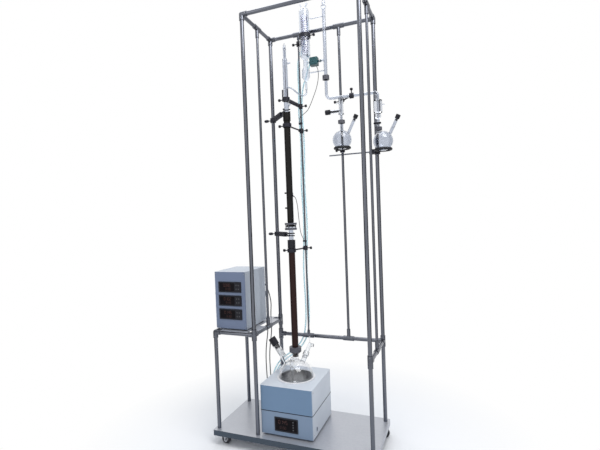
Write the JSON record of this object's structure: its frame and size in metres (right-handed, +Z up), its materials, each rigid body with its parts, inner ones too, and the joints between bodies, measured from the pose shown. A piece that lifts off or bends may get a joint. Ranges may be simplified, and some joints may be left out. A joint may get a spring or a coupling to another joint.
{
  "type": "fractional distillation unit",
  "caption": "Floor-standing glass fractional distillation unit: a heated flask, tall packed column, condenser and receivers in a wheeled tube frame with a controller.",
  "frame": {"origin": "on the floor under the middle of the tray", "axes": "+X along the tray towards the receivers, +Y to the back, +Z up"},
  "size_m": [1.1992, 0.475, 2.8514],
  "materials": {
    "tray": "satin sheet",
    "tube": "drawn tube",
    "shelf": "satin sheet",
    "fitting": "moulded",
    "caster_metal": "plated",
    "caster_wheel": "moulded",
    "mantle_base": "powder coat",
    "mantle_hood": "powder coat",
    "heated_well": "woven glass fibre",
    "display": "smooth",
    "switch": "smooth",
    "control_case": "powder coat",
    "control_panel": "powder coat",
    "meters": "moulded",
    "feet": "moulded",
    "glass": "clear",
    "coil_glass": "clear",
    "lower_column": "coated",
    "upper_column": "coated",
    "stopper": "moulded",
    "clamp_ring": "moulded",
    "valve_body": "moulded",
    "boss": "dark coating",
    "ring": "dark",
    "cable": "sheath",
    "hose": "translucent"
  },
  "bodies": {
    "unit": {"base_tray": "tray", "post_front_left": "tube", "post_front_right": "tube", "post_rear_left": "tube", "post_rear_right": "tube", "mid_posts": "tube", "cross_rails": "tube", "side_table_tubes": "tube", "support_rods": "tube", "shelf_plate": "shelf", "frame_fittings": "fitting", "caster_plates": "caster_metal", "mantle_base": "mantle_base", "mantle_hood": "mantle_hood", "mantle_well": "heated_well", "mantle_display": "display", "control_case": "control_case", "control_panel": "control_panel", "control_meters": "meters", "rubber_feet": "feet", "flask": "glass", "neck_adapter": "glass", "thermowell": "glass", "column_joint": "glass", "column_head": "glass", "thermometer": "glass", "condenser": "glass", "riser_tube": "glass", "delivery_tube": "glass", "takeoff_left": "glass", "takeoff_right": "glass", "receiver_left": "glass", "receiver_right": "glass", "condenser_coil": "coil_glass", "lower_column": "lower_column", "upper_column": "upper_column", "neck_caps": "stopper", "joint_clamps": "clamp_ring", "solenoid_valve": "valve_body", "boss_heads": "boss", "column_clamps": "boss", "ring_supports": "ring", "solenoid_cable": "cable", "column_lead": "cable", "controller_cable_a": "cable", "controller_cable_b": "cable", "water_hose_a": "hose", "water_hose_b": "hose"},
    "fork_front_left": {"caster_fork_front_left": "caster_metal"},
    "wheel_front_left": {"caster_wheel_front_left": "caster_wheel"},
    "fork_front_right": {"caster_fork_front_right": "caster_metal"},
    "wheel_front_right": {"caster_wheel_front_right": "caster_wheel"},
    "fork_rear_left": {"caster_fork_rear_left": "caster_metal"},
    "wheel_rear_left": {"caster_wheel_rear_left": "caster_wheel"},
    "fork_rear_right": {"caster_fork_rear_right": "caster_metal"},
    "wheel_rear_right": {"caster_wheel_rear_right": "caster_wheel"},
    "power_switch": {"mantle_switch": "switch"},
    "left_key": {"valve_key_left": "stopper"},
    "right_key": {"valve_key_right": "stopper"}
  },
  "joints": [
    {"name": "swivel_front_left", "type": "hinge", "parent": "unit", "child": "fork_front_left", "pos_m": [-0.4805, -0.1895, 0.09], "axis": [0, 0, 1], "continuous": true},
    {"name": "roll_front_left", "type": "hinge", "parent": "fork_front_left", "child": "wheel_front_left", "pos_m": [-0.4605, -0.1895, 0.03], "axis": [0, 1, 0], "continuous": true},
    {"name": "swivel_front_right", "type": "hinge", "parent": "unit", "child": "fork_front_right", "pos_m": [0.4805, -0.1895, 0.09], "axis": [0, 0, 1], "continuous": true},
    {"name": "roll_front_right", "type": "hinge", "parent": "fork_front_right", "child": "wheel_front_right", "pos_m": [0.5005, -0.1895, 0.03], "axis": [0, 1, 0], "continuous": true},
    {"name": "swivel_rear_left", "type": "hinge", "parent": "unit", "child": "fork_rear_left", "pos_m": [-0.4805, 0.1895, 0.09], "axis": [0, 0, 1], "continuous": true},
    {"name": "roll_rear_left", "type": "hinge", "parent": "fork_rear_left", "child": "wheel_rear_left", "pos_m": [-0.4605, 0.1895, 0.03], "axis": [0, 1, 0], "continuous": true},
    {"name": "swivel_rear_right", "type": "hinge", "parent": "unit", "child": "fork_rear_right", "pos_m": [0.4805, 0.1895, 0.09], "axis": [0, 0, 1], "continuous": true},
    {"name": "roll_rear_right", "type": "hinge", "parent": "fork_rear_right", "child": "wheel_rear_right", "pos_m": [0.5005, 0.1895, 0.03], "axis": [0, 1, 0], "continuous": true},
    {"name": "power_rocker", "type": "hinge", "parent": "unit", "child": "power_switch", "pos_m": [0.1395, -0.114, 0.15], "axis": [0, 1, 0], "range_deg": [-5, 5]},
    {"name": "left_stopcock", "type": "hinge", "parent": "unit", "child": "left_key", "pos_m": [0.3, 0.11, 2.121], "axis": [-1, 0, 0], "continuous": true},
    {"name": "right_stopcock", "type": "hinge", "parent": "unit", "child": "right_key", "pos_m": [0.534, 0.11, 2.008], "axis": [0, -1, 0], "continuous": true}
  ]
}
